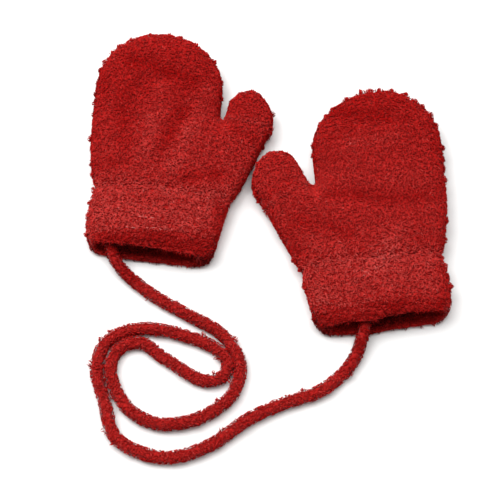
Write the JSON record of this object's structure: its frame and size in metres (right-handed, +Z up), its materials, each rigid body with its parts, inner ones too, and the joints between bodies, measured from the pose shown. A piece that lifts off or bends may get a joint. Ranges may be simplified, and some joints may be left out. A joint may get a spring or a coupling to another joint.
{
  "type": "pair of baby mittens",
  "caption": "Baby mittens in plush knit laid flat side by side, each with a deep cuff and a thumb, joined by a long soft neck cord.",
  "frame": {"origin": "bottom centre of the two mittens' box, on the surface they lie on", "axes": "+X from the left mitten to the right one, +Y from the cuffs to the fingertips, +Z up from the surface"},
  "size_m": [0.193, 0.246, 0.0202],
  "materials": {
    "plush_knit": "matte plush pile",
    "cord_knit": "matte plush pile"
  },
  "bodies": {
    "root": {"left_cuff": "plush_knit", "left_hand": "plush_knit", "left_thumb": "plush_knit", "right_cuff": "plush_knit", "right_hand": "plush_knit", "right_thumb": "plush_knit", "cord": "cord_knit"}
  },
  "joints": []
}
